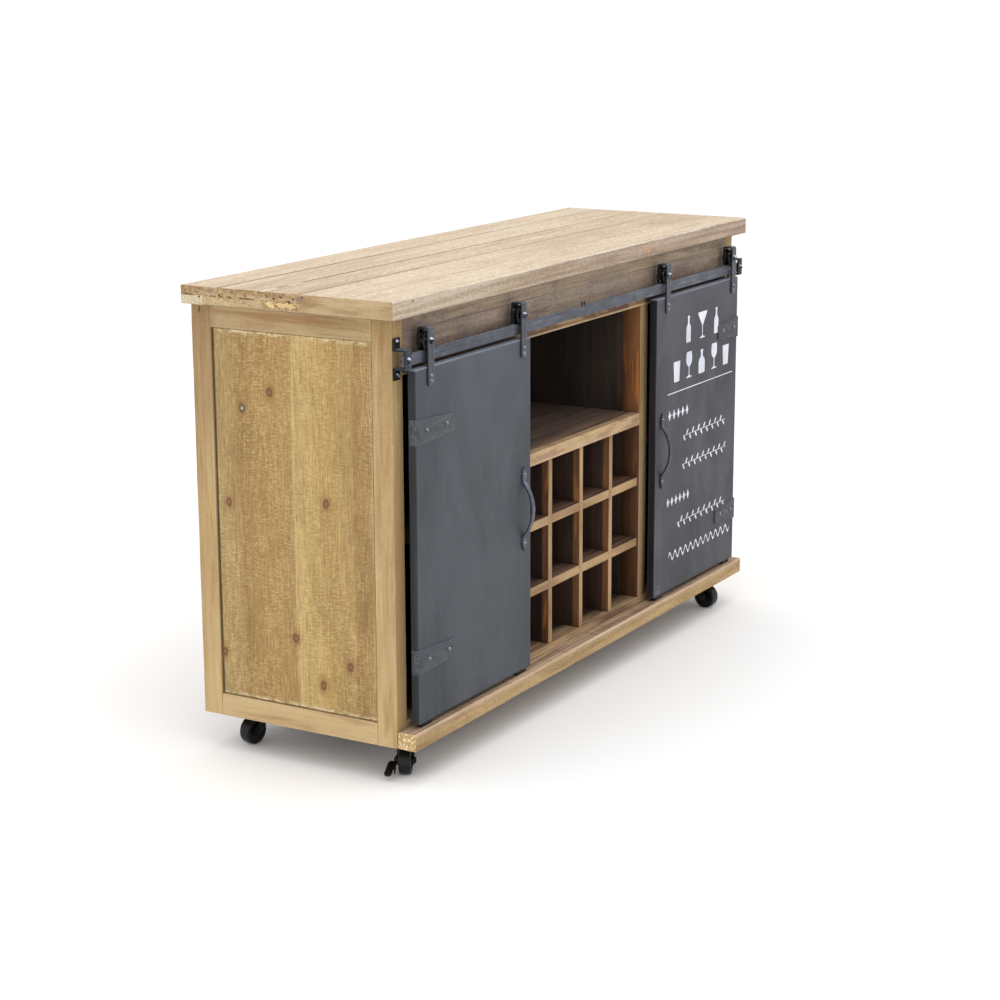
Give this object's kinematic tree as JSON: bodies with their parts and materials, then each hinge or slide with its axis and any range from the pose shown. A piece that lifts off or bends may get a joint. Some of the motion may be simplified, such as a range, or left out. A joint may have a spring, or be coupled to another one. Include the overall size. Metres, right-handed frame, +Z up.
{
  "type": "bar cabinet on casters",
  "caption": "Low wooden bar cabinet on swivel casters, with sliding barn doors on a flat track, an open shelf and a bottle rack of square cubbies between them.",
  "frame": {"origin": "on the floor, at the middle of the bounding box", "axes": "+X along the tabletop to the viewer's right when facing the doors, +Y to the back, +Z up"},
  "size_m": [1.4, 0.461, 0.842],
  "materials": {
    "top_wood": "weathered pale fir, fine saw marks, matt",
    "frame_wood": "honey-tan stained fir, matt",
    "panel_wood": "olive-brown stained pine with knots, matt",
    "header_wood": "grey-brown weathered stain, golden below the track",
    "back_wood": "very dark brown stain",
    "inner_wood": "amber-brown stain",
    "rack_wood": "tan edges, amber-brown faces",
    "plinth_wood": "tan stain, worn pale along its front edge",
    "door_paint": "slate grey paint, faint vertical brushing and scuffs",
    "hinge_iron": "slate grey paint",
    "handle_iron": "dark blue-grey hammered paint",
    "track_iron": "dark blue-grey forged finish, light flecks",
    "fastener_iron": "dark grey, worn bright on the heads",
    "roller_black": "glossy black",
    "glide_plastic": "black",
    "caster_steel": "black, semi-gloss",
    "wheel_rubber": "black, satin"
  },
  "bodies": {
    "cabinet": {"top_plank_1": "top_wood", "top_plank_2": "top_wood", "top_plank_3": "top_wood", "top_plank_4": "top_wood", "top_plank_5": "top_wood", "top_cleats": "top_wood", "left_stiles": "frame_wood", "left_side_panel": "panel_wood", "right_stiles": "frame_wood", "right_side_panel": "panel_wood", "side_rails": "frame_wood", "header_board": "header_wood", "back_panel": "back_wood", "floor_board": "inner_wood", "base_rails": "inner_wood", "plinth_rail": "plinth_wood", "partition_stiles": "frame_wood", "partition_panels": "back_wood", "centre_shelf": "inner_wood", "shelf_lip": "rack_wood", "rack_dividers": "rack_wood", "rack_shelves": "rack_wood", "bay_shelves": "inner_wood", "track_bar": "track_iron", "track_brackets": "track_iron", "track_fasteners": "fastener_iron", "track_stop_pins": "fastener_iron", "caster_plates": "caster_steel", "caster_screws": "caster_steel"},
    "left_door_body": {"left_door": "door_paint", "left_hinge_plates": "hinge_iron", "left_handle": "handle_iron", "left_hangers": "track_iron", "left_roller_bolts": "fastener_iron", "left_door_screws": "fastener_iron", "left_door_glides": "glide_plastic"},
    "right_door_body": {"right_door": "door_paint", "right_hinge_plates": "hinge_iron", "right_handle": "handle_iron", "right_hangers": "track_iron", "right_roller_bolts": "fastener_iron", "right_door_screws": "fastener_iron", "right_door_glides": "glide_plastic"},
    "left_outer_roller_body": {"left_outer_roller": "roller_black"},
    "left_inner_roller_body": {"left_inner_roller": "roller_black"},
    "right_inner_roller_body": {"right_inner_roller": "roller_black"},
    "right_outer_roller_body": {"right_outer_roller": "roller_black"},
    "front_left_fork_body": {"front_left_fork": "caster_steel", "front_left_axle": "caster_steel"},
    "front_left_wheel_body": {"front_left_wheel": "wheel_rubber"},
    "front_right_fork_body": {"front_right_fork": "caster_steel", "front_right_axle": "caster_steel"},
    "front_right_wheel_body": {"front_right_wheel": "wheel_rubber"},
    "rear_left_fork_body": {"rear_left_fork": "caster_steel", "rear_left_axle": "caster_steel"},
    "rear_left_wheel_body": {"rear_left_wheel": "wheel_rubber"},
    "rear_right_fork_body": {"rear_right_fork": "caster_steel", "rear_right_axle": "caster_steel"},
    "rear_right_wheel_body": {"rear_right_wheel": "wheel_rubber"},
    "front_left_brake_body": {"front_left_brake": "caster_steel"}
  },
  "joints": [
    {"name": "left_door_slide", "type": "slide", "parent": "cabinet", "child": "left_door_body", "axis": [1, 0, 0], "range_m": [-0.02, 0.222]},
    {"name": "right_door_slide", "type": "slide", "parent": "cabinet", "child": "right_door_body", "axis": [-1, 0, 0], "range_m": [-0.01, 0.29]},
    {"name": "left_outer_roller_turn", "type": "hinge", "parent": "left_door_body", "child": "left_outer_roller_body", "pos_m": [-0.6, -0.2005, 0.766], "axis": [0, 1, 0], "continuous": true},
    {"name": "left_inner_roller_turn", "type": "hinge", "parent": "left_door_body", "child": "left_inner_roller_body", "pos_m": [-0.285, -0.2005, 0.766], "axis": [0, 1, 0], "continuous": true},
    {"name": "right_inner_roller_turn", "type": "hinge", "parent": "right_door_body", "child": "right_inner_roller_body", "pos_m": [0.3035, -0.2005, 0.766], "axis": [0, 1, 0], "continuous": true},
    {"name": "right_outer_roller_turn", "type": "hinge", "parent": "right_door_body", "child": "right_outer_roller_body", "pos_m": [0.6185, -0.2005, 0.766], "axis": [0, 1, 0], "continuous": true},
    {"name": "front_left_swivel", "type": "hinge", "parent": "cabinet", "child": "front_left_fork_body", "pos_m": [-0.5932, -0.149, 0.06], "axis": [0, 0, 1], "continuous": true},
    {"name": "front_left_wheel_turn", "type": "hinge", "parent": "front_left_fork_body", "child": "front_left_wheel_body", "pos_m": [-0.61567, -0.15996, 0.025], "axis": [0.4384, -0.8988, 0], "continuous": true},
    {"name": "front_left_brake_lift", "type": "hinge", "parent": "front_left_fork_body", "child": "front_left_brake_body", "pos_m": [-0.61567, -0.15996, 0.025], "axis": [-0.4384, 0.8988, 0], "range_deg": [0, 38]},
    {"name": "front_right_swivel", "type": "hinge", "parent": "cabinet", "child": "front_right_fork_body", "pos_m": [0.5932, -0.149, 0.06], "axis": [0, 0, 1], "continuous": true},
    {"name": "front_right_wheel_turn", "type": "hinge", "parent": "front_right_fork_body", "child": "front_right_wheel_body", "pos_m": [0.58972, -0.17376, 0.025], "axis": [0.9903, -0.1392, 0], "continuous": true},
    {"name": "rear_left_swivel", "type": "hinge", "parent": "cabinet", "child": "rear_left_fork_body", "pos_m": [-0.5932, 0.1625, 0.06], "axis": [0, 0, 1], "continuous": true},
    {"name": "rear_left_wheel_turn", "type": "hinge", "parent": "rear_left_fork_body", "child": "rear_left_wheel_body", "pos_m": [-0.61796, 0.16598, 0.025], "axis": [-0.1392, -0.9903, 0], "continuous": true},
    {"name": "rear_right_swivel", "type": "hinge", "parent": "cabinet", "child": "rear_right_fork_body", "pos_m": [0.5932, 0.1625, 0.06], "axis": [0, 0, 1], "continuous": true},
    {"name": "rear_right_wheel_turn", "type": "hinge", "parent": "rear_right_fork_body", "child": "rear_right_wheel_body", "pos_m": [0.56971, 0.15395, 0.025], "axis": [0.342, -0.9397, 0], "continuous": true}
  ],
  "couplings": [
    {"joint": "left_outer_roller_turn", "follows": "left_door_slide", "rad_per_m": 63.694},
    {"joint": "left_inner_roller_turn", "follows": "left_door_slide", "rad_per_m": 63.694},
    {"joint": "right_inner_roller_turn", "follows": "right_door_slide", "rad_per_m": -63.694},
    {"joint": "right_outer_roller_turn", "follows": "right_door_slide", "rad_per_m": -63.694}
  ]
}
